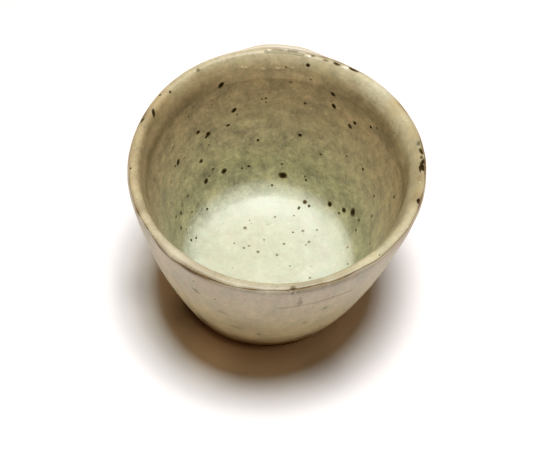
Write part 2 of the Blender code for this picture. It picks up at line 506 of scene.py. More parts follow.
@dataclass(frozen=True)
class LipLine:
    """Line of bare clay on the outer edge of the lip, between the two coats."""

    middle: float = 0.48  # share of the way down the outer half of the lip
    arc: float = 0.00165  # length of that outer half
    least: float = 0.00004
    most: float = 0.00050
    wander: float = 0.00026
    wander_size: float = 0.006
    climbs: tuple[Stretch, ...] = table(  # how much nearer the crest the line runs
        Stretch,
        (72, 40, 0.18), (87, 14, 0.22), (290, 18, 0.2), (234, 14, -0.24),
    )
    bare: tuple[Stretch, ...] = table(  # where the line is wide
        Stretch,
        (224, 5, 0.6), (240, 10, 0.9), (249, 5, 0.35), (262, 3, 0.4), (281, 8, 0.45), (288, 2.5, 0.5),
        (297, 6, 0.35), (311, 8, 0.1), (326, 9, 0.1), (344, 3, 0.7), (1, 5, 1.0), (9, 4, 0.8),
        (30, 5, 0.4), (58, 3, 0.6), (65, 3, 0.5), (71, 2, 0.4), (84, 6, 0.1), (159, 4, 0.8),
        (190, 20, 0.1), (205, 2, 0.6), (213, 2, 0.3),
    )
    tan: tuple[Stretch, ...] = table(  # where both coats are stained
        Stretch,
        (346, 12, 0.35), (4, 14, 0.5), (16, 7, 0.5), (31, 5, 0.75), (95, 45, 0.28), (70, 6, 0.4),
        (152, 11, 0.6), (176, 16, 0.35),
    )
    outer_tan: tuple[Stretch, ...] = table(  # where only the outer coat is
        Stretch,
        (229, 5, 0.8), (242, 12, 0.5), (340, 25, 0.4),
    )
    pools: tuple[Stretch, ...] = table(  # where the glaze gathered and is pale
        Stretch,
        (43, 7, 0.45), (232, 16, 0.52), (266, 28, 0.32),
    )
    glints: tuple[Stretch, ...] = table(  # where painted glints and painted light brighten the glaze along the line
        Stretch,
        (110, 13, 0.7), (94, 1.6, 0.9), (87, 1.6, 1.0), (81.5, 1.6, 1.0), (78, 1.2, 0.8), (60.5, 1.6, 0.8),
    )
    outer_shades: tuple[Stretch, ...] = table(  # where painted shade darkens the top edge of the outer coat, under the line
        Stretch,
        (284, 24, 0.8), (266, 14, 0.6),
    )
    # Rows with ways of 7.5 to 8.7 mm are painted shade in the groove under the lip, lighter at the back; the
    # other rows are stains and painted light and shade on the lip.
    shades: tuple[LipShade, ...] = table(
        LipShade,
        (170, 24, 0.5, 8.7, 2.2), (134, 15, 0.42, 7.5, 2.2), (42, 18, 0.38, 7.5, 2.4),
        (352, 26, 0.48, 8.7, 2.4), (205, 18, 0.2, 8.7, 2.6), (320, 24, 0.25, 8.7, 2.6),
        (90, 26, -0.19, 8.5, 3.5), (152, 9, 0.36, 2.2, 1.3), (163, 5, 0.32, 2.2, 1.3),
        (127, 7, 0.2, 1.9, 1.3), (178, 10, 0.15, 3.6, 1.2), (206, 7, 0.2, 2.8, 1.4),
        (346, 5, 0.48, 0.8, 0.9), (355, 7, 0.3, 1.5, 1.2), (8, 6, 0.25, 0.9, 0.8), (18, 6, 0.32, 0.6, 0.9),
        (36, 3, 0.32, 1.0, 0.7), (354.5, 2.5, 0.4, 0.8, 0.6), (4, 12, 0.32, 5.0, 1.4),
        (350, 9, 0.2, 6.0, 1.5), (270, 26, 0.16, 1.0, 1.0), (325, 16, 0.12, 2.5, 2.0),
        (280, 28, 0.36, 0.3, 0.5), (285, 14, -0.1, 1.2, 0.4), (250, 10, -0.16, 1.4, 0.4),
        (236, 8, -0.28, 0.6, 0.6), (221, 8, -0.22, 0.6, 0.6), (333, 11, 0.24, 3.0, 1.8),
        (30, 6, -0.25, 1.6, 1.3), (107, 12, -0.06, 2.5, 2.5), (88, 20, 0.06, 3.0, 2.5),
    )

    def edges(self, angle: np.ndarray, radius: float) -> tuple[np.ndarray, np.ndarray]:
        """Find where the two coats end on the outer half of the lip.

        Args:
            angle: Angle of each column.
            radius: Radius of the lip, for the scale of the wander.

        Returns:
            Share at which the inner coat ends, and share at which the outer coat starts.
        """
        wander = self.wander * smooth_noise(circle(angle, radius), self.wander_size) / self.arc
        gap = (self.least + (self.most - self.least) * strongest(angle, self.bare)) / self.arc
        middle = self.middle + wander - sum(stretch.share(angle) for stretch in self.climbs)
        return middle - gap / 2, middle + gap / 2


@dataclass(frozen=True)
class GlazeLine:
    """Wavy lower edge of the outer coat, above the bare foot."""

    height: float = 0.0042
    wave: float = 0.0012
    long_waves: int = 2
    short_waves: int = 5
    short_share: float = 0.4
    turn: float = math.radians(220)
    ragged: float = 0.00025
    ragged_size: float = 0.003

    def level(self, angle: np.ndarray, radius: float) -> np.ndarray:
        """Find the height of the edge.

        Args:
            angle: Angle of each column.
            radius: Radius of the foot, for the scale of the raggedness.

        Returns:
            Height at each angle.
        """
        long_wave = np.sin(self.long_waves * angle + self.turn)
        short_wave = np.cos(self.short_waves * angle + self.turn)
        ragged = self.ragged * smooth_noise(circle(angle, radius), self.ragged_size)
        return self.height + self.wave * (long_wave + self.short_share * (short_wave - long_wave)) + ragged


@dataclass(frozen=True)
class GlazeRoll:
    """Roll of glaze that gathered on the outer edge of the lip, at the back."""

    middle: float = math.radians(90)
    reach: float = math.radians(15)
    swell: float = 0.0011
    depth: float = 0.0050

    def along(self, angle: np.ndarray) -> np.ndarray:
        """How fully the roll stands at some angles."""
        return bell(around(angle, self.middle) / self.reach, 4)

    def bulge(self, height: np.ndarray, angle: np.ndarray, lip: float) -> np.ndarray:
        """How far the coat swells outwards at some heights and angles under a lip of some height."""
        return self.swell * bell((lip - height) / self.depth) * self.along(angle)


@dataclass
class Shell:
    """Closed shell that a section makes when it goes round the axis."""

    name: str
    unwrap: Unwrap
    face_share: float = 0.9  # share of the bake map that goes to the rows that show

    def build(self, grid: np.ndarray, shown_rows: int, closed: bool, marks: dict) -> bpy.types.Object:
        """Make the mesh from its grid of places.

        Args:
            grid: Place of each row and column. A row whose columns coincide becomes one point.
            shown_rows: How many of the first rows lie on the visible face.
            closed: Whether the last row joins the first.
            marks: Value of each named mark for each row and column.

        Returns:
            The shell as an object at the origin.
        """
        rows, columns = grid.shape[:2]
        tips = np.ptp(grid, axis=1).max(axis=1) < TINY
        first = np.concatenate(([0], np.cumsum(np.where(tips, 1, columns))))
        points = np.concatenate([grid[row, :1] if tips[row] else grid[row] for row in range(rows)])
        faces = []
        corners = []
        for row in range(rows if closed else rows - 1):
            after = (row + 1) % rows
            for column in range(columns):
                ring = [(row, column), (row + 1, column), (row + 1, column + 1), (row, column + 1)]
                if tips[row]:
                    ring = ring[:3]
                if tips[after]:
                    ring = [ring[0], ring[1], ring[3]]
                corners += ring
                faces.append([int(first[r % rows] + (0 if tips[r % rows] else c % columns)) for r, c in ring])
        mesh = bpy.data.meshes.new(self.name)
        mesh.from_pydata(points.tolist(), [], faces)
        self.lay_flat(mesh, np.array(corners, float), rows, shown_rows, columns)
        for mark, values in marks.items():
            flat = [values[row, :1] if tips[row] else values[row] for row in range(rows)]
            attribute = mesh.attributes.new(mark, "FLOAT", "POINT")
            attribute.data.foreach_set("value", np.concatenate(flat).astype(np.float32))
        mesh.shade_smooth()
        return new_object(self.name, mesh)

    def lay_flat(self, mesh: bpy.types.Mesh, corners: np.ndarray, rows: int, shown_rows: int,
                 columns: int) -> None:
        """Give the mesh the map that its finish is baked on.

        Args:
            mesh: Mesh of the shell.
            corners: Row and column of each face corner, in the mesh's own order.
            rows: Rows of the shell.
            shown_rows: How many of the first rows lie on the visible face.
            columns: Columns of the shell.
        """
        shown = corners[:, 0] / (shown_rows - 1) * self.face_share
        hidden_share = (corners[:, 0] - shown_rows + 1) / (rows - shown_rows + 1)
        hidden = self.face_share + hidden_share * (1 - self.face_share)
        along = np.where(corners[:, 0] < shown_rows, shown, hidden)
        turn = corners[:, 1] / columns
        flat = np.column_stack((turn, along))
        if self.unwrap is Unwrap.DISC:
            angle = 2 * math.pi * turn
            flat = 0.5 + 0.5 * along[:, None] * np.column_stack((np.cos(angle), np.sin(angle)))
        layer = mesh.uv_layers.new(name="OFBake")
        layer.data.foreach_set("uv", flat.astype(np.float32).ravel())


@dataclass
class GlazedCup:
    """The clay body and its two coats of glaze."""

    form: CupForm = CupForm()
    marks: HandMarks = HandMarks()
    lip_line: LipLine = LipLine()
    glaze_line: GlazeLine = GlazeLine()
    roll: GlazeRoll = GlazeRoll()
    inner_coat: float = 0.00060  # out from the clay, to the face of the coat
    outer_coat: float = 0.00055
    seat: float = -0.00005  # the underside of a coat lies in the clay, so that no slit shows
    edge_rounding: float = 0.0006  # length over which a coat rounds off to its edge
    lip_edge: float = 0.00050  # thickness that a coat keeps at the lip line, where the clay stands up to it
    ridge_middle: float = 0.4  # where the clay stands up, in setbacks of the crest below the top
    ridge_reach: float = 0.8
    inner_brown: float = 0.0010  # reach of the brown beside the bare line
    outer_brown: float = 0.0006
    lip_tan: float = 0.0030  # reach of the tan stains
    lip_pool: float = 0.0040  # reach of the pale on the roll, partly thick glaze and partly painted light
    lip_glint: float = 0.0006  # reach of the painted glints along the line
    inner_pool: float = 0.10  # share of the roll's paleness that the inner coat shows
    outer_pool: float = 1.0
    outer_shade: float = 0.0012  # reach of the painted shade under the lip line
    foot_tint: float = 0.0012  # reach of the brown above the foot
    inside_steps: tuple[int, ...] = (40, 24, 100, 36)  # over floor, bend, wall and lip, where it shows
    seat_steps: tuple[int, ...] = (8, 6, 12, 6)
    clay_steps: tuple[int, ...] = (8, 8, 14, 8)
    foot_steps: tuple[int, ...] = (8, 16)  # over the ring's edge and the roof of its hollow
    over_steps: int = 10  # from the crest to the lip line, and on the clay to the wall
    lip_steps: int = 14  # from the lip line to the wall
    wall_steps: int = 140
    seat_wall_steps: int = 24
    clay_wall_steps: int = 60

    def angles(self) -> np.ndarray:
        """Angle of each column."""
        return np.arange(AROUND) * 2 * math.pi / AROUND

    def spread(self, section: np.ndarray) -> np.ndarray:
        """Repeat a section of radius and height for every column."""
        return np.repeat(section[:, None, :], AROUND, axis=1)

    def lip_rows(self, start: np.ndarray, end: np.ndarray, steps: int) -> np.ndarray:
        """Rows on the outer half of the lip, between two shares that differ from column to column."""
        share = np.linspace(0, 1, steps + 1)[:, None]
        return self.form.outer_lip(start + (end - start) * share)

    def wall_rows(self, low: np.ndarray, steps: int) -> np.ndarray:
        """Lay rows down the outer wall from under the lip.

        Args:
            low: Height at which each column ends.
            steps: Steps down the wall.

        Returns:
            Radius and height for each row and column.
        """
        top = self.form.height - self.form.crest_setback
        share = np.sin(np.linspace(0, math.pi / 2, steps + 1))[:, None]
        height = top + (low - top) * share
        return np.stack((self.form.wall_radius(height), height), axis=-1)

    def raised(self, section: np.ndarray, distance: np.ndarray, side: Side) -> np.ndarray:
        """Lift a section off the clay and turn it, with the marks of the hand.

        Args:
            section: Radius and height of the clay for each row and column.
            distance: Distance out of the clay for each row and column.
            side: Which turned surface the section belongs to.

        Returns:
            Place of each row and column.
        """
        along = np.gradient(section, axis=0)
        along /= np.linalg.norm(along, axis=-1, keepdims=True)
        out = np.stack((-along[..., 1], along[..., 0]), axis=-1)
        out[section[..., 0] < TINY] = (0, 1 if section[0, 0, 1] > self.form.recess_depth else -1)
        even = self.form.thrown(section, self.angles(), side)
        distance = distance + self.marks.relief(even)
        return self.form.thrown(section + out * distance[..., None], self.angles(), side)

    def seated(self, section: np.ndarray, side: Side) -> np.ndarray:
        """Underside of a coat along a section, from its last row to its first."""
        return self.raised(section, np.full(section.shape[:2], self.seat), side)[::-1]

    def way_to_end(self, section: np.ndarray) -> np.ndarray:
        """Measure along a section.

        Args:
            section: Radius and height for each row and column.

        Returns:
            Way from each row to the last one, in metres.
        """
        steps = np.linalg.norm(np.diff(section, axis=0), axis=-1)
        way = np.zeros(section.shape[:2])
        way[:-1] = np.cumsum(steps[::-1], axis=0)[::-1]
        return way

    def rounded(self, edge: float, coat: float, way: np.ndarray) -> np.ndarray:
        """Thickness of a coat that rounds off over the last stretch to its edge."""
        back = np.clip(1 - way / self.edge_rounding, 0, 1)
        return edge + (coat - edge) * np.sqrt(1 - back**2)

    def lip_marks(self, way: np.ndarray, tan: tuple[Stretch, ...], pool: float,
                  brown: float) -> dict[str, np.ndarray]:
        """Work out what the finish shows beside the lip line.

        Args:
            way: Way from the lip line, for each row and column.
            tan: Stretches where the coat is stained.
            pool: Share of the roll's paleness that the coat shows.
            brown: Reach of the brown beside the bare line.

        Returns:
            Brown, tan and pale shares, the pale with painted glints and painted light on the roll, and where
            specks may lie.
        """
        angle = self.angles()
        # Pale: pale pools, and the roll, partly thick glaze and partly painted light where it faces the lamp;
        # painted glints along the line
        pools = np.maximum(pool * self.roll.along(angle), strongest(angle, self.lip_line.pools))
        glint = strongest(angle, self.lip_line.glints) * np.exp(-way / self.lip_glint)
        return {
            "brown": strongest(angle, self.lip_line.bare) * np.exp(-way / brown) * (1 - glint),
            "tan": strongest(angle, tan) * np.exp(-way / self.lip_tan),
            "pale": np.maximum(pools * np.exp(-way / self.lip_pool), glint),
            "speckled": np.ones(way.shape),
        }

    def coat(self, shell: Shell, face: np.ndarray, seat: np.ndarray, marks: dict) -> bpy.types.Object:
        """Close a coat with its underside, and make it.

        Args:
            shell: Shell of the coat. Only a strip joins its last row to its first.
            face: Place of each row and column that shows.
            seat: Place of each row and column of the underside, which has no marks.
            marks: Value of each named mark on the face.

        Returns:
            The coat as an object at the origin.
        """
        bare = np.zeros(seat.shape[:2])
        marks = {name: np.concatenate((values, bare)) for name, values in marks.items()}
        return shell.build(np.concatenate((face, seat)), len(face), shell.unwrap is Unwrap.STRIP, marks)

    def inner_glaze(self) -> bpy.types.Object:
        """Make the poured coat, from the inside floor over the crest of the lip.

        Returns:
            The coat as an object at the origin.
        """
        angle = self.angles()
        end = self.lip_line.edges(angle, self.form.mouth_radius)[0]
        over = self.lip_rows(np.zeros(AROUND), end, self.over_steps)[1:]
        section = np.concatenate((self.spread(self.form.inside(*self.inside_steps)), over))
        way = self.way_to_end(section)
        face = self.raised(section, self.rounded(self.lip_edge, self.inner_coat, way), Side.INSIDE)
        few = over[self.over_steps // 2 - 1::self.over_steps // 2]
        hidden = np.concatenate((self.spread(self.form.inside(*self.seat_steps)), few))
        marks = self.lip_marks(way, self.lip_line.tan, self.inner_pool, self.inner_brown)
        # Painted shade in the groove under the lip, and stains and painted light and shade on the lip
        marks["shade"] = sum(shade.share_at(angle, way) for shade in self.lip_line.shades)
        seat = self.seated(hidden, Side.INSIDE)[1:]
        return self.coat(Shell("inner_ash_glaze", Unwrap.DISC), face, seat, marks)

    def outer_glaze(self) -> bpy.types.Object:
        """Make the dipped coat, from the line on the lip down to the glaze line.

        Returns:
            The coat as an object at the origin.
        """
        angle = self.angles()
        start = self.lip_line.edges(angle, self.form.mouth_radius)[1]
        low = self.glaze_line.level(angle, self.form.base_radius)
        lip = self.lip_rows(start, np.ones(AROUND), self.lip_steps)
        section = np.concatenate((lip, self.wall_rows(low, self.wall_steps)[1:]))
        way_down = self.way_to_end(section)
        way_up = self.way_to_end(section[::-1])[::-1]
        thickness = self.rounded(self.lip_edge, self.outer_coat, way_up)
        thickness = np.minimum(thickness, self.rounded(0, self.outer_coat, way_down))
        thickness += self.roll.bulge(section[..., 1], angle, self.form.height) * self.rounded(0, 1, way_up)
        face = self.raised(section, thickness, Side.OUTSIDE)
        hidden = np.concatenate((lip[::self.lip_steps // 2], self.wall_rows(low, self.seat_wall_steps)[1:]))
        stains = self.lip_line.tan + self.lip_line.outer_tan
        marks = self.lip_marks(way_up, stains, self.outer_pool, self.outer_brown)
        # Painted shade along the top edge of the outer coat, under the lip line
        marks["shade"] = strongest(angle, self.lip_line.outer_shades) * np.exp(-way_up / self.outer_shade)
        marks["brown"] = np.maximum(marks["brown"], np.exp(-way_down / self.foot_tint))
        seat = self.seated(hidden, Side.OUTSIDE)
        return self.coat(Shell("outer_ash_glaze", Unwrap.STRIP), face, seat, marks)

    def clay(self) -> bpy.types.Object:
        """Make the stoneware under the coats, with its bare lip line and foot.

        Returns:
            The body as an object at the origin.
        """
        ones = np.ones(AROUND)
        lip = self.lip_rows(0 * ones, ones, self.over_steps)[1:]
        wall = self.wall_rows(0 * ones, self.clay_wall_steps)[1:]
        foot = self.spread(self.form.under_foot(*self.foot_steps))[1:]
        outside = np.concatenate((lip, wall, foot))
        below = (self.form.height - outside[..., 1]) / self.form.crest_setback
        standing = bell((below - self.ridge_middle) / self.ridge_reach, 4) * self.lip_edge
        inside = self.spread(self.form.inside(*self.clay_steps))
        grid = np.concatenate((self.raised(inside, np.zeros(inside.shape[:2]), Side.INSIDE),
                               self.raised(outside, standing, Side.OUTSIDE)))
        grid[..., 2] = np.maximum(grid[..., 2], 0)
        return Shell("stoneware_body", Unwrap.STRIP).build(grid, len(grid) - 1, False, {})


@dataclass(frozen=True)
class Dots:
    """Small dots in the glaze, in some of the cells of a loose grid."""

    spacing: float
    share: float  # of the cells that hold a dot
    radius: float  # drawn coarse enough to show in the render
    strength: float


@dataclass(frozen=True)
class AshGlaze:
    """Wood-ash glaze over iron-bearing clay, fired to a satin gloss.

    It pools pale where it lies thick, thins to tan on steep walls and breaks to brown on edges, so the eye
    sees soft bands, mottling and specks under a broken sheen.
    """

    name: str
    low: float  # height at which the bands start
    high: float  # height at which they end
    bands: tuple[tuple[float, str], ...]  # share of the way up, and the colour there
    brown: str  # colour where the glaze thins to nothing
    tan: str = "c3a468"  # colour of the stains along the lip
    pale: str = "fbf3da"  # colour where the glaze lies thickest, also of the painted glints and the painted light on the roll
    stain: str = "5e4c1c"  # colour of the glaze round a speck of iron
    iron: str = "1e1202"
    stain_range: Pair = (0.0, 0.6)  # share of iron over which the stain comes in
    iron_range: Pair = (0.35, 1.0)
    ior: float = 1.5
    roughness: float = 0.45
    satin_swing: float = 0.07  # how far the mottling changes the roughness
    satin_range: Pair = (0.3, 0.7)
    pooled_roughness: float = 0.42
    shine: float = 0.5
    dry: float = -1.0  # share of the height up to which the glaze is too thin to shine
    dry_fade: float = 0.12
    contrast: float = 2.45  # how far the mottling lightens and darkens the wall
    contrast_bands: tuple[Pair, ...] = ((0.04, 0.28), (0.12, 1.25), (0.35, 1.2), (0.6, 1.0), (0.84, 1.0),
                                        (0.94, 0.65))
    side_tone: Pair = (1.0, 1.0)  # how light the glaze is to the left and to the right
    side_reach: float = 0.035
    hue_swing: Triple = (0.20, -0.10, -0.02)  # from mossy to rosy
    shade_swing: Triple = (-0.93, -1.0, -1.15)  # how the shade mark, painted shade and stains, turns the colour from plain to olive brown
    band_wander: float = 0.07  # share of the height by which a band wanders
    band_lean: float = 0.0  # share of the height by which the bands rise, for each metre to the left
    run: float = 1.0  # how far the mottling runs down the wall, against its width
    mottle_size: float = 0.0055
    mottle_detail: Pair = (5.0, 0.9)  # octaves, and how strong the fine ones are
    hue_size: float = 0.0022
    hue_detail: Pair = (4.0, 0.7)
    hue_seed: float = 3.0
    streak_width: float = 0.0090
    streak_height: float = 0.0010
    streak_detail: float = 3.0
    streak_share: float = 0.10
    ragged_range: Pair = (0.35, 0.60)  # mottling over which a stain comes in
    ragged_share: Pair = (0.3, 1.3)  # share of the stain that shows there
    flecks: Dots = Dots(0.0024, 0.2, 0.00016, 0.5)
    pits: Dots = Dots(0.0034, 0.3, 0.00022, 0.35)
    dot_relief: float = 0.4
    bump_depth: float = 0.00030
    bump_strength: float = 0.5

    def material(self) -> bpy.types.Material:
        """Build the finish.

        Returns:
            Material that reads Object coordinates and the shells' marks.
        """
        material, tree, shader = new_finish(self.name)
        place = add(tree, "ShaderNodeTexCoord")["Object"]
        sideways, _, height = add(tree, SPLIT, place)
        runs = add(tree, "ShaderNodeMapping", place, inputs={"Scale": (1, 1, 1 / self.run)})[0]
        octaves, fine = self.mottle_detail
        mottle = add(tree, NOISE, runs, inputs={"Scale": 1 / self.mottle_size, "Detail": octaves,
                                                "Roughness": fine})[0]

        # Bands of colour from the bottom to the top, with uneven borders
        level = add(tree, RANGE, height, self.low, self.high)[0]
        drift = add(tree, MATH, mottle, -NOISE_MIDDLE, operation="ADD")[0]
        border = add(tree, MATH, drift, self.band_wander, level, operation="MULTIPLY_ADD")[0]
        border = add(tree, MATH, sideways, self.band_lean, border, operation="MULTIPLY_ADD")[0]
        colour = add(tree, RAMP, border, stops=[(stop, linear(band)) for stop, band in self.bands])[0]
        octaves, fine = self.hue_detail
        hue = add(tree, NOISE, runs, inputs={"W": self.hue_seed, "Scale": 1 / self.hue_size,
                                             "Detail": octaves, "Roughness": fine}, noise_dimensions="4D")[0]
        hue = add(tree, MATH, hue, -NOISE_MIDDLE, operation="ADD")[0]
        hue = add(tree, VECTOR, hue, self.hue_swing, PLAIN, operation="MULTIPLY_ADD")[0]
        colour = add(tree, VECTOR, colour, hue, operation="MULTIPLY")[0]

        # Mottling, and faint streaks left by the throwing
        scale = (1 / self.streak_width, 1 / self.streak_width, 1 / self.streak_height)
        drawn = add(tree, "ShaderNodeMapping", place, inputs={"Scale": scale})[0]
        streak = add(tree, NOISE, drawn, inputs={"Scale": 1.0, "Detail": self.streak_detail})[0]
        streak = add(tree, MATH, streak, -NOISE_MIDDLE, operation="ADD")[0]
        uneven = add(tree, MATH, streak, self.streak_share, drift, operation="MULTIPLY_ADD")[0]
        stops = [(stop, (share, share, share, 1)) for stop, share in self.contrast_bands]
        wall = add(tree, RAMP, level, stops=stops)[0]
        swing = add(tree, MATH, uneven, wall, operation="MULTIPLY")[0]
        even = add(tree, RANGE, sideways, -self.side_reach, self.side_reach, *self.side_tone)[0]
        tone = add(tree, MATH, swing, self.contrast, even, operation="MULTIPLY_ADD")[0]
        colour = add(tree, VECTOR, colour, inputs={"Scale": tone}, operation="SCALE")[0]
        # The shade mark darkens the colour, or lightens it below 0: painted shade under and along the lip,
        # and stains on the lip
        shade = add(tree, MARK, attribute_name="shade")["Fac"]
        shade = add(tree, VECTOR, shade, self.shade_swing, PLAIN, operation="MULTIPLY_ADD")[0]
        colour = add(tree, VECTOR, colour, shade, operation="MULTIPLY")[0]

        # Small dark flecks and pale pinholes
        relief = uneven
        for dots, dot_colour in ((self.flecks, self.brown), (self.pits, self.pale)):
            cells = add(tree, "ShaderNodeTexVoronoi", place, inputs={"Scale": 1 / dots.spacing})
            edge = dots.radius / dots.spacing
            near = add(tree, RANGE, cells["Distance"], edge, 2 * edge, dots.strength, 0.0)[0]
            chance = add(tree, SPLIT, cells["Color"])["X"]
            chosen = add(tree, MATH, chance, dots.share, operation="LESS_THAN")[0]
            dot = add(tree, MATH, near, chosen, operation="MULTIPLY")[0]
            colour = add(tree, MIX, dot, inputs={6: colour, 7: linear(dot_colour)}, data_type="RGBA")[2]
            relief = add(tree, MATH, dot, self.dot_relief, relief, operation="MULTIPLY_ADD")[0]

        # What the shells' marks say: pale pools with painted glints and painted light on the roll, tan
        # stains, brown edges, and iron in the specks
        ragged = add(tree, RANGE, mottle, *self.ragged_range, *self.ragged_share)[0]
        names = ("pale", "tan", "brown", "iron")
        marks = {name: add(tree, MARK, attribute_name=name)["Fac"] for name in names}
        shares = [(add(tree, MATH, marks[name], ragged, operation="MULTIPLY", use_clamp=True)[0], stain)
                  for name, stain in (("pale", self.pale), ("tan", self.tan), ("brown", self.brown))]
        shares += [(add(tree, RANGE, marks["iron"], *reach)[0], stain)
                   for reach, stain in ((self.stain_range, self.stain), (self.iron_range, self.iron))]
        for share, stain in shares:
            colour = add(tree, MIX, share, inputs={6: colour, 7: linear(stain)}, data_type="RGBA")[2]

        # A broken sheen, none on iron or where the glaze is thin
        satin = add(tree, RANGE, mottle, *self.satin_range, self.roughness - self.satin_swing,
                    self.roughness + self.satin_swing)[0]
        gloss = add(tree, MIX, marks["pale"], inputs={2: satin, 3: self.pooled_roughness})[0]
        shine = add(tree, RANGE, level, self.dry, self.dry + self.dry_fade, 0.0, self.shine)[0]
        shine = add(tree, RANGE, marks["iron"], 0.0, 1.0, shine, 0.0)[0]
        bump = add(tree, "ShaderNodeBump", inputs={"Height": relief, "Strength": self.bump_strength,
                                                   "Distance": self.bump_depth})[0]
        wire(tree, shader, {"Base Color": colour, "Roughness": gloss, "Normal": bump,
                            "Specular IOR Level": shine, "IOR": self.ior})
        return material


@dataclass(frozen=True)
class BareStoneware:
    """Iron-bearing clay, fired without glaze: matt, warm brown, darker at the foot, with sandy grain."""

    name: str = "Bare stoneware"
    dark: str = "5a4628"
    light: str = "94774a"
    grain_range: Pair = (0.7, 1.3)  # sum of patches and grit over which dark turns to light
    foot_tone: float = 0.42  # how dark the clay is at the foot, against the lip
    foot_reach: float = 0.012
    roughness: float = 0.8
    patch_size: float = 0.004
    patch_detail: float = 4.0
    grit_size: float = 0.0005
    grit_detail: float = 2.0
    bump_depth: float = 0.0002
    bump_strength: float = 0.6

    def material(self) -> bpy.types.Material:
        """Build the finish.

        Returns:
            Material that reads Object coordinates.
        """
        material, tree, shader = new_finish(self.name)
        place = add(tree, "ShaderNodeTexCoord")["Object"]
        sizes = ((self.patch_size, self.patch_detail), (self.grit_size, self.grit_detail))
        patch, grit = [add(tree, NOISE, place, inputs={"Scale": 1 / size, "Detail": detail})[0]
                       for size, detail in sizes]
        grain = add(tree, MATH, patch, grit, operation="ADD")[0]
        share = add(tree, RANGE, grain, *self.grain_range)[0]
        colour = add(tree, MIX, share, inputs={6: linear(self.dark), 7: linear(self.light)},
                     data_type="RGBA")[2]
        height = add(tree, SPLIT, place)["Z"]
        tone = add(tree, RANGE, height, 0.0, self.foot_reach, self.foot_tone, 1.0)[0]
        colour = add(tree, VECTOR, colour, inputs={"Scale": tone}, operation="SCALE")[0]
        bump = add(tree, "ShaderNodeBump", inputs={"Height": grit, "Strength": self.bump_strength,
                                                   "Distance": self.bump_depth})[0]
        wire(tree, shader, {"Base Color": colour, "Normal": bump, "Roughness": self.roughness})
        return material


POURED_GLAZE = AshGlaze(
    name="Poured ash glaze",
    low=0.0095,
    high=0.0620,
    bands=(
        # At 0.035, where the floor's highlight falls, the band is tinted whiter as a painted highlight.
        (0.0, "d0d1b6"), (0.035, "d0d3be"), (0.065, "cccfb6"), (0.1, "c8c8ae"), (0.135, "b3b089"),
        (0.25, "a9a57a"), (0.45, "beb389"), (0.75, "c6b185"), (0.88, "c8b286"), (0.94, "cab88a"),
        (0.97, "cfc297"), (1.0, "d3c9a0"),
    ),
    brown="7d6436",
    band_lean=1.2,
    side_tone=(0.89, 1.08),
    shine=0.55,
)

DIPPED_GLAZE = AshGlaze(
    name="Dipped ash glaze",
    low=0.0,
    high=0.0620,
    bands=(
        # Darker towards the foot: partly the glaze thinning to brown, partly painted shade on the lower wall.
        (0.0, "3c2c16"), (0.07, "3a2610"), (0.162, "4a3010"), (0.21, "6a5028"), (0.238, "7d643b"),
        (0.274, "8f774e"), (0.32, "a18c5d"), (0.37, "b09d6e"), (0.52, "baa876"), (0.66, "c8b88e"),
        (0.76, "d0c19d"), (0.92, "d5c8ae"), (1.0, "dacfb9"),
    ),
    brown="6a5028",
    band_lean=0.9,
    side_tone=(1.03, 0.97),
    dry=0.13,
    flecks=Dots(0.0024, 0.1, 0.00016, 0.5),
    pits=Dots(0.0034, 0.15, 0.00022, 0.35),
    contrast=1.25,
    contrast_bands=((0.0, 1.0),),
    hue_swing=(0.28, -0.12, -0.02),
    run=2.4,
    mottle_size=0.0060,
    hue_size=0.0035,
    streak_share=0.04,
)


@dataclass(frozen=True)
class Speck:
    """Speck of iron where the photograph shows it."""

    x: float  # pixel column
    y: float  # pixel row
    across: float  # millimetres
    strength: float = 1.0  # share of iron in its middle
    along: float = 0.0  # millimetres up the slope, where the speck isn't round
    turn: float = 0.0  # degrees from the slope
    pale: float = 0.0  # share of pale colour in its middle, where it is a bead without iron; the strongest are painted glints
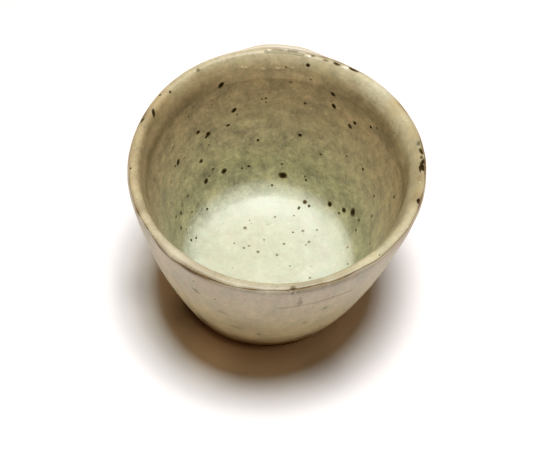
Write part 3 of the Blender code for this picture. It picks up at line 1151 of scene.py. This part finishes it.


INSIDE_SPECKS = table(
    Speck,
    (283, 175, 2.1, 1, 1.9), (353, 212, 1.7, 1, 2.5), (224, 171, 1.4, 1, 1.6, -40),
    (221, 85, 1.3, 1, 2.0, -40), (208, 134, 1.2, 1, 1.5, -30), (234, 110, 1.1, 1, 1.6, -40),
    (344, 210, 1.2, 1, 1.5, -20), (330, 204, 1.3, 1, 1.4), (305, 202, 1.1, 0.75, 1.2),
    (334, 106, 1.0, 1, 1.5, 35), (333, 94, 1.0, 1, 1.4, 60), (206, 181, 1.2, 1, 1.5, -30), (198, 132, 1.1),
    (228, 125, 1.1, 0.75, 0.9), (258, 140, 0.8), (300, 135, 1.0), (178, 162, 1.1, 1, 1.7, -30),
    (175, 166, 0.6), (201, 161, 1.1, 0.85, 1.2), (213, 169, 0.7), (242, 168, 0.6), (249, 166, 0.8),
    (209, 176, 0.5), (282, 164, 0.6), (305, 176, 0.5), (306, 180, 0.7), (350, 126, 1.1, 0.8, 1.4, 50),
    (355, 123, 1.0), (371, 127, 0.9), (377, 128, 0.6), (321, 154, 0.9, 1, 0.4), (347, 156, 0.5),
    (363, 169, 0.8), (394, 197, 0.7, 1, 1.3), (339, 213, 0.7), (309, 206, 0.7), (299, 208, 0.6, 1, 0.9),
    (359, 220, 0.7, 1, 1.0), (356, 230, 0.5, 1, 0.9), (370, 244, 0.7, 1, 0.9), (374, 196, 0.7),
    (372, 216, 0.6, 1, 1.0), (245, 228, 0.9, 0.55), (264, 240, 0.5, 0.55), (249, 246, 0.6, 0.55),
    (244, 248, 0.7, 0.55), (258, 252, 0.8, 0.55), (277, 255, 0.7, 0.55), (284, 244, 0.7, 0.55),
    (275, 217, 0.6, 0.55), (303, 231, 0.7, 0.55), (317, 230, 0.6, 0.55), (309, 242, 0.7, 0.55),
    (306, 245, 0.5, 0.55), (290, 266, 0.5, 0.55), (310, 278, 0.7, 0.5), (207, 209, 0.7), (192, 212, 0.6),
    (181, 213, 0.8, 1, 1.2), (176, 217, 0.7), (188, 196, 0.7), (191, 240, 0.7), (196, 238, 0.6),
    (262, 99, 0.5), (266, 98, 0.6), (266, 102, 0.5), (305, 103, 0.7), (291, 82, 0.7, 0.5), (272, 185, 0.6),
    (160, 95, 0.6), (170, 92, 0.6), (153.5, 113, 0.9, 1, 2.3, -50), (308, 65, 1.0, 1, 0.9),
    (237, 114, 0.5), (206, 137, 0.8), (203, 131, 0.5, 0.6), (212, 104, 0.6, 0.6), (173, 147, 0.8, 0.4),
    (184, 158, 0.6, 0.5), (209, 145, 0.5, 0.7), (286, 67, 0.8, 0.5), (311, 79, 0.7, 0.4),
    (181, 228, 0.8, 0.8, 1.1), (186, 229, 0.6, 0.6), (171, 182, 0.9, 0.4), (185, 178, 0.6, 0.4),
    (198, 70, 0.9, 0.5), (154, 179, 0.8, 0.35, 2.4), (182, 205, 0.8, 0.4, 1.6), (348, 247, 0.8, 0.4),
    (348, 264, 0.7, 0.4),
)

# The specks by the foot, rows 315 to 340, darken the line where the cup meets the paper: partly its brown
# edge, partly painted shade.
LIP_SPECKS = table(
    Speck,
    (422.5, 165.3, 4.4, 1, 1.8), (421.2, 151.5, 2.0, 0.85, 0.9), (421.4, 157.5, 1.4, 0.6, 0.8),
    (418.6, 143.5, 1.8, 0.5, 1.0), (418.5, 201, 1.5, 1, 1.1), (142, 120, 1.8, 0.8, 1.2),
    (293, 288.3, 1.5, 0.55, 1.2), (293, 290.5, 1.4, 0.5, 1.6), (292.8, 293, 1.1, 0.4, 1.6),
    (248, 288.5, 1.6, 0.5, 0.7), (319.5, 284.5, 1.5, 0.6, 0.8), (320, 325, 0.6), (203.5, 320, 2.6, 1, 2.2),
    (199.5, 315.5, 1.8, 0.8, 1.6), (208.5, 325, 2.4, 0.9, 1.6), (306, 335.5, 2.4, 0.8, 1.2),
    (300, 337.5, 2.4, 0.7, 1.2), (293, 339, 2.4, 0.5, 1.0), (196, 291, 1.6, 0.35, 2.4, 30),
    (221, 312, 2.2, 0.2, 2.0), (236, 327, 2.8, 0.25, 2.4), (259, 334, 1.1, 0.35, 2.0),
    (305, 323, 1.2, 0.25, 2.0), (325, 308, 1.3, 0.3, 2.0), (300, 303, 1.2, 0.35, 2.4),
    (354, 69.8, 2.8, 1, 0.9), (337, 64, 1.9, 0.8, 0.7), (326, 60.5, 1.6, 0.5, 0.6),
    (313, 56, 1.2, 0.5, 0.6),
)

# The first six are pale pits under the back lip, painted with their highlights; the rest are painted glints
# along the back of the lip.
PALE_PITS_AND_GLINTS = table(
    Speck,
    (242, 67.5, 0.8, 0, 0, 0, 0.28), (246, 68, 0.7, 0, 0, 0, 0.25), (263.5, 69.5, 0.9, 0, 0, 0, 0.28),
    (278.5, 69, 1.4, 0, 0.8, 0, 0.28), (284.5, 68.5, 0.8, 0, 0, 0, 0.3), (292.5, 68.5, 0.9, 0, 0, 0, 0.28),
    (269.5, 50, 1.4, 0, 0.7, 0, 1.0), (284, 50, 2.0, 0, 0.7, 0, 1.0), (290, 50.5, 1.0, 0, 0.7, 0, 1.0),
    (301, 53, 1.8, 0, 0.7, 0, 1.0), (308.5, 56, 1.4, 0, 0.8, 0, 1.0), (345.5, 67.5, 1.8, 0, 0.8, 0, 1.0),
)


@dataclass(frozen=True)
class Hairline:
    """Fine dark crack in the glaze, drawn as a row of small specks."""

    path: tuple[Pair, ...]  # pixel columns and rows
    across: float = 0.75  # millimetres
    strength: float = 0.15
    spacing: float = 1.2  # pixels

    def specks(self) -> tuple[Speck, ...]:
        """Space the specks along the path.

        Returns:
            Specks that touch each other.
        """
        corners = np.array(self.path)
        way = np.concatenate(([0], np.cumsum(np.linalg.norm(np.diff(corners, axis=0), axis=1))))
        places = np.arange(0, way[-1], self.spacing)
        columns, rows = [np.interp(places, way, corners[:, axis]) for axis in (0, 1)]
        return tuple(Speck(x, y, self.across, self.strength) for x, y in zip(columns, rows))


HAIRLINES = (
    Hairline(((279, 308.7), (290, 307.7), (300, 305.8), (317, 302.8), (326, 299.6), (336, 296.2),
              (353, 290))),
    Hairline(((300.5, 298), (299.5, 305)), strength=0.22),
    Hairline(((266, 51.5), (280, 51.8), (292, 52.8), (303, 55)), strength=0.35),
)


def land(specks: tuple[Speck, ...], coats: list[bpy.types.Object], view: PhotoView) -> list[list]:
    """Find where the camera meets the glaze at each speck.

    Args:
        specks: Specks as the photograph shows them.
        coats: Coats of glaze.
        view: Camera of the photograph.

    Returns:
        For each coat, the specks that lie on it, each with its place.
    """
    surfaces = []
    for coat in coats:
        places = [vertex.co for vertex in coat.data.vertices]
        surfaces.append(BVHTree.FromPolygons(places, [list(face.vertices) for face in coat.data.polygons]))
    landed = [[] for _ in coats]
    for speck in specks:
        hits = [surface.ray_cast(view.eye(), view.ray(speck.x, speck.y)) for surface in surfaces]
        ways = [math.inf if hit[0] is None else hit[3] for hit in hits]
        nearest = ways.index(min(ways))
        if hits[nearest][0] is None:
            log.warning("no glaze at pixel %d, %d", speck.x, speck.y)
        else:
            landed[nearest].append((speck, hits[nearest][0]))
    return landed


@dataclass
class IronSpecks:
    """Beads of iron that bled through one coat of glaze, with pale pits and painted glints laid the same way.
    """

    name: str
    carrier: bpy.types.Object
    landed: list  # specks that lie on this coat, each with its place
    dust_density: float  # small seeded specks to the square metre
    dust_least: float = 0.00022
    dust_most: float = 0.00075
    dust_rarity: float = 4.0  # power that makes large dust rare
    dust_strength: Pair = (0.3, 0.9)
    least_strength: float = 0.6  # of the smallest speck, which grows with its width in millimetres
    strength_growth: float = 0.4
    halo: float = 1.62  # width of a bead with its soft edge, against the width of its dark middle
    core: float = 0.40  # share of a bead's width over which the iron is full
    rise: float = 0.00008
    sink: float = 0.00008
    skirt: float = 0.7  # share of a bead's height over which it comes out of the glaze
    segments: int = 10
    rings: int = 6
    outline_size: float = 0.0006
    outline_share: float = 0.28
    seed: int = 7

    def seen_points(self) -> bpy.types.Object:
        """Make a point for each speck that the photograph shows.

        Returns:
            Object whose vertices carry each speck's width, length, turn, strength and paleness.
        """
        points = bpy.data.meshes.new(self.name)
        points.from_pydata([place for _, place in self.landed], [], [])
        specks = [speck for speck, _ in self.landed]
        fullness = [min(1, self.least_strength + self.strength_growth * speck.across) for speck in specks]
        values = {
            "width": [self.halo * speck.across * MILLIMETRE for speck in specks],
            "length": [self.halo * (speck.along or speck.across) * MILLIMETRE for speck in specks],
            "turn": [math.radians(speck.turn) for speck in specks],
            "strength": [speck.strength * full for speck, full in zip(specks, fullness)],
            "paleness": [speck.pale for speck in specks],
        }
        for name, numbers in values.items():
            points.attributes.new(name, "FLOAT", "POINT").data.foreach_set("value", numbers)
        return new_object(self.name, points)

    def given(self, finish: bpy.types.Material) -> dict[str, tuple[str, object]]:
        """List the named inputs of the tree.

        Args:
            finish: Material of the glaze that carries the beads.

        Returns:
            Kind of socket and value of each input.
        """
        return {
            "Glaze": ("Object", self.carrier), "Finish": ("Material", finish), "Seed": ("Int", self.seed),
            "Dust Density": ("Float", self.dust_density), "Dust Least": ("Float", self.dust_least),
            "Dust Most": ("Float", self.dust_most),
            "Rise": ("Float", self.rise), "Sink": ("Float", self.sink),
            "Segments": ("Int", self.segments), "Rings": ("Int", self.rings),
            "Outline Size": ("Float", self.outline_size), "Outline Share": ("Float", self.outline_share),
        }

    def tree(self, kinds: dict[str, str]) -> bpy.types.NodeTree:
        """Build the tree that turns points into beads which lie on the glaze.

        Args:
            kinds: Kind of socket of each named input.

        Returns:
            Geometry Nodes tree.
        """
        tree = bpy.data.node_groups.new("Iron specks", "GeometryNodeTree")
        for name, kind in {"Geometry": "Geometry", **kinds}.items():
            tree.interface.new_socket(name, in_out="INPUT", socket_type=f"NodeSocket{kind}")
        tree.interface.new_socket("Geometry", in_out="OUTPUT", socket_type="NodeSocketGeometry")
        given = add(tree, "NodeGroupInput")
        glaze = add(tree, "GeometryNodeObjectInfo", given["Glaze"], transform_space="RELATIVE")["Geometry"]
        where = add(tree, "GeometryNodeInputPosition")[0]
        names = ("speckled", "width", "length", "turn", "core", "dome", "strength", "paleness")
        carried = {name: add(tree, NAMED, name, data_type="FLOAT")[0] for name in names}
        kept = {"data_type": "FLOAT", "domain": "POINT"}

        # Points of the specks that the photograph shows, and of seeded dust
        placed = add(tree, "GeometryNodeMeshToPoints", given["Geometry"])[0]
        density = add(tree, MATH, carried["speckled"], given["Dust Density"], operation="MULTIPLY")[0]
        dust = add(tree, "GeometryNodeDistributePointsOnFaces", glaze,
                   inputs={"Density": density, "Seed": given["Seed"]})[0]
        draw = add(tree, "FunctionNodeRandomValue", inputs={"Seed": given["Seed"]}, data_type="FLOAT")[1]
        rare = add(tree, MATH, draw, self.dust_rarity, operation="POWER")[0]
        wide = add(tree, RANGE, rare, 0.0, 1.0, given["Dust Least"], given["Dust Most"])[0]
        faint = add(tree, RANGE, draw, 0.0, 1.0, *self.dust_strength)[0]
        for name, value in (("width", wide), ("length", wide), ("strength", faint)):
            dust = add(tree, STORE, dust, inputs={"Name": name, "Value": value}, **kept)[0]
        points = add(tree, "GeometryNodeJoinGeometry", [placed, dust])[0]

        # Each bead faces out of the glaze, with its length up the slope
        face_out = add(tree, "GeometryNodeInputNormal")[0]
        out = add(tree, "GeometryNodeSampleNearestSurface", glaze,
                  inputs={"Value": face_out, "Sample Position": where}, data_type="FLOAT_VECTOR")[0]
        align = "FunctionNodeAlignRotationToVector"
        facing = add(tree, align, inputs={"Vector": out}, axis="Z")[0]
        upright = add(tree, align, facing, inputs={"Vector": (0, 0, 1)}, axis="Y", pivot_axis="Z")[0]
        twist = add(tree, "FunctionNodeAxisAngleToRotation", (0, 0, 1), carried["turn"])[0]
        turned = add(tree, "FunctionNodeRotateRotation", upright, twist, rotation_space="LOCAL")[0]
        size = add(tree, "ShaderNodeCombineXYZ", carried["width"], carried["length"], given["Rise"])[0]
        half = add(tree, VECTOR, size, inputs={"Scale": 0.5}, operation="SCALE")[0]

        # A ball that knows its dark core and its upper side
        ball = add(tree, "GeometryNodeMeshUVSphere", given["Segments"], given["Rings"], 1.0)["Mesh"]
        level = add(tree, VECTOR, where, (1, 1, 0), operation="MULTIPLY")[0]
        away = add(tree, VECTOR, level, operation="LENGTH")["Value"]
        core = add(tree, RANGE, away, self.core, 1.0, 1.0, 0.0)[0]
        upper = add(tree, SPLIT, where)["Z"]
        for name, value in (("core", core), ("dome", upper)):
            ball = add(tree, STORE, ball, inputs={"Name": name, "Value": value}, **kept)[0]
        beads = add(tree, "GeometryNodeInstanceOnPoints", points,
                    inputs={"Instance": ball, "Rotation": turned, "Scale": half})[0]
        beads = add(tree, "GeometryNodeRealizeInstances", beads)[0]
        # Pale beads at full strength are painted glints
        for name, source in (("pale", "paleness"), ("iron", "strength")):
            share = add(tree, MATH, carried["core"], carried[source], operation="MULTIPLY")[0]
            beads = add(tree, STORE, beads, inputs={"Name": name, "Value": share}, **kept)[0]

        # An uneven outline
        fineness = add(tree, MATH, 1.0, given["Outline Size"], operation="DIVIDE")[0]
        ragged = add(tree, NOISE, where, inputs={"Scale": fineness})[1]
        ragged = add(tree, VECTOR, ragged, (NOISE_MIDDLE,) * 3, operation="SUBTRACT")[0]
        reach = add(tree, MATH, carried["width"], given["Outline Share"], operation="MULTIPLY")[0]
        ragged = add(tree, VECTOR, ragged, inputs={"Scale": reach}, operation="SCALE")[0]
        beads = add(tree, "GeometryNodeSetPosition", beads, inputs={"Offset": ragged})[0]

        # Laid on the glaze, with its underside in it
        nearest = add(tree, "GeometryNodeProximity", glaze, inputs={"Sample Position": where},
                      target_element="FACES")["Position"]
        above = add(tree, RANGE, carried["dome"], 0.0, 1.0, 0.0, given["Rise"])[0]
        below = add(tree, RANGE, carried["dome"], -self.skirt, self.skirt, given["Sink"], 0.0)[0]
        lift = add(tree, MATH, above, below, operation="SUBTRACT")[0]
        lifted = add(tree, VECTOR, out, inputs={"Scale": lift}, operation="SCALE")[0]
        laid = add(tree, VECTOR, nearest, lifted, operation="ADD")[0]
        beads = add(tree, "GeometryNodeSetPosition", beads, inputs={"Position": laid})[0]
        beads = add(tree, "GeometryNodeSetShadeSmooth", beads)[0]
        beads = add(tree, "GeometryNodeSetMaterial", beads, inputs={"Material": given["Finish"]})[0]
        add(tree, "NodeGroupOutput", beads)
        return tree

    def build(self, finish: bpy.types.Material) -> bpy.types.Object:
        """Lay the beads on the glaze and keep them as a plain mesh.

        Args:
            finish: Material of the glaze that carries the beads.

        Returns:
            The beads as one object at the origin.
        """
        given = self.given(finish)
        piece = self.seen_points()
        modifier = piece.modifiers.new("Iron specks", "NODES")
        modifier.node_group = self.tree({name: kind for name, (kind, _) in given.items()})
        for socket in modifier.node_group.interface.items_tree:
            if socket.name in given:
                modifier[socket.identifier] = given[socket.name][1]
        bpy.context.view_layer.update()
        points = piece.data
        evaluated = piece.evaluated_get(bpy.context.evaluated_depsgraph_get())
        mesh = bpy.data.meshes.new_from_object(evaluated)
        piece.modifiers.remove(modifier)
        piece.data = mesh
        bpy.data.meshes.remove(points)
        return piece


@dataclass(frozen=True)
class WhiteSweep:
    """Matt white paper under the cup. It shows as plain white and keeps the cup's shadow."""

    name: str = "White paper"
    paper: str = "f2ede4"
    seen: str = "fff9f3"
    seen_level: float = 1.17  # so that its least channel still reaches white under the lamp
    half_width: float = 1.5
    foot_middle: Triple = (-0.0046, -0.0002, 0.0)
    painted_glow_reach: float = 0.060
    painted_glow: tuple[tuple[float, Colour], ...] = (  # painted light and shade on the paper by distance from the foot: a painted contact shadow, then painted bounce from the glaze
        (0.0226, (0.62, 0.48, 0.30, 1.0)),
        (0.0248, (1.66, 1.72, 1.35, 1.0)),
        (0.030, (1.68, 1.82, 1.65, 1.0)),
        (0.036, (1.10, 1.14, 1.11, 1.0)),
        (0.042, (0.94, 0.97, 1.01, 1.0)),
        (0.050, (0.98, 1.00, 1.03, 1.0)),
        (0.060, (1.00, 1.00, 1.00, 1.0)),
    )
    patches: tuple[tuple[Triple, float, float], ...] = (  # middle, reach and level of painted light and shade on the paper by the cup
        ((-0.0252, -0.0118, 0.0), 0.010, 0.52),
        ((-0.0170, -0.0270, 0.0), 0.012, 1.35),
        ((0.0150, -0.0290, 0.0), 0.011, 0.82),
        ((-0.0400, -0.0040, 0.0), 0.010, 0.84),
    )

    def material(self) -> bpy.types.Material:
        """Build the paper, which the camera sees a little whiter than its light bounces.

        Returns:
            Material of the floor.
        """
        material, tree, shader = new_finish(self.name)
        place = add(tree, "ShaderNodeTexCoord")["Object"]
        # Painted light and shade near the cup: a ramp by distance from the foot, then patches
        away = add(tree, VECTOR, place, self.foot_middle, operation="DISTANCE")["Value"]
        away = add(tree, MATH, away, self.painted_glow_reach, operation="DIVIDE")[0]
        stops = [(distance / self.painted_glow_reach, light) for distance, light in self.painted_glow]
        painted_glow = add(tree, RAMP, away, stops=stops)[0]
        for middle, reach, level in self.patches:
            away = add(tree, VECTOR, place, middle, operation="DISTANCE")["Value"]
            share = add(tree, RANGE, away, 0.0, reach, level, 1.0, interpolation_type="SMOOTHSTEP")[0]
            painted_glow = add(tree, VECTOR, painted_glow, inputs={"Scale": share}, operation="SCALE")[0]
        white = tuple(self.seen_level * channel for channel in linear(self.seen)[:3])
        white = add(tree, VECTOR, painted_glow, white, operation="MULTIPLY")[0]
        colour = add(tree, MIX, seen_directly(tree), inputs={6: linear(self.paper), 7: white},
                     data_type="RGBA")[2]
        wire(tree, shader, {"Base Color": colour, "Roughness": 1.0, "Specular IOR Level": 0.0})
        return material

    def build(self) -> bpy.types.Object:
        """Lay the paper on the floor.

        Returns:
            The floor.
        """
        mesh = bpy.data.meshes.new("floor")
        size = self.half_width
        corners = [(-size, -size, 0), (size, -size, 0), (size, size, 0), (-size, size, 0)]
        mesh.from_pydata(corners, [], [(0, 1, 2, 3)])
        mesh.materials.append(self.material())
        return new_object("floor", mesh)


@dataclass(frozen=True)
class Studio:
    """Soft lamp almost straight above, and dim surroundings that look white from the camera."""

    lamp_height: float = 2.2
    lamp_across: Pair = (0.57, 0.69)
    lamp_lean: Pair = (0.039, -0.009)  # sideways way of the lamp for each metre up
    lamp_level: float = 0.97  # white paper under the lamp renders at this level
    lamp_colour: str = "fafcff"
    ambient: float = 0.064
    ambient_colour: str = "ffb480"
    backdrop: str = "ffffff"

    def lamp(self) -> None:
        """Hang the lamp over the cup, facing it."""
        data = bpy.data.lights.new("overhead_lamp", "AREA")
        data.shape = "ELLIPSE"
        data.size, data.size_y = self.lamp_across
        data.energy = self.lamp_level * (math.pi * self.lamp_height) ** 2
        data.color = linear(self.lamp_colour)[:3]
        above = Vector((*self.lamp_lean, 1)) * self.lamp_height
        turn = above.to_track_quat("Z", "Y").to_matrix().to_4x4()
        new_object("overhead_lamp", data).matrix_world = Matrix.Translation(above) @ turn

    def surroundings(self) -> None:
        """Make the world dim as a light, and white where it is seen."""
        world = bpy.data.worlds.new("studio")
        world.use_nodes = True
        tree = world.node_tree
        seen = seen_directly(tree)
        level = add(tree, RANGE, seen, 0.0, 1.0, self.ambient, 1.0)[0]
        tint = add(tree, MIX, seen, inputs={6: linear(self.ambient_colour), 7: linear(self.backdrop)},
                   data_type="RGBA")[2]
        wire(tree, tree.nodes["Background"], {"Color": tint, "Strength": level})
        bpy.context.scene.world = world

    def build(self) -> None:
        """Light the scene."""
        self.lamp()
        self.surroundings()
        bpy.context.scene.view_settings.view_transform = "Standard"


def carry(piece: bpy.types.Object, finish: bpy.types.Material, node: str = "") -> None:
    """Give a finished piece its material and body, and hide the CAD node that it stands for.

    Args:
        piece: Finished mesh at the origin.
        finish: Material that it shows.
        node: CAD node that it stands for, if any.
    """
    piece.data.materials.clear()
    piece.data.materials.append(finish)
    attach(piece, BODY)
    if node:
        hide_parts(node)
    log.info("%s: %d faces, finish %s", piece.name, len(piece.data.polygons), finish.name)


def main() -> None:
    """Build the cup, its specks and the studio."""
    logging.basicConfig(level=logging.INFO, format="%(name)s %(message)s")
    view = PhotoView()
    view.build()
    Studio().build()
    WhiteSweep().build()

    poured = POURED_GLAZE.material()
    dipped = DIPPED_GLAZE.material()
    cup = GlazedCup()
    inner = cup.inner_glaze()
    outer = cup.outer_glaze()
    carry(cup.clay(), BareStoneware().material(), "clay_body")
    carry(inner, poured, "inner_glaze")
    carry(outer, dipped, "outer_glaze")
    hairlines = sum((line.specks() for line in HAIRLINES), ())
    on_inner, on_outer = land(INSIDE_SPECKS + LIP_SPECKS + PALE_PITS_AND_GLINTS + hairlines, [inner, outer], view)
    carry(IronSpecks("inside_specks", inner, on_inner, 9000).build(poured), poured)
    carry(IronSpecks("outside_specks", outer, on_outer, 3000).build(dipped), dipped)


if __name__ == "__main__":
    main()
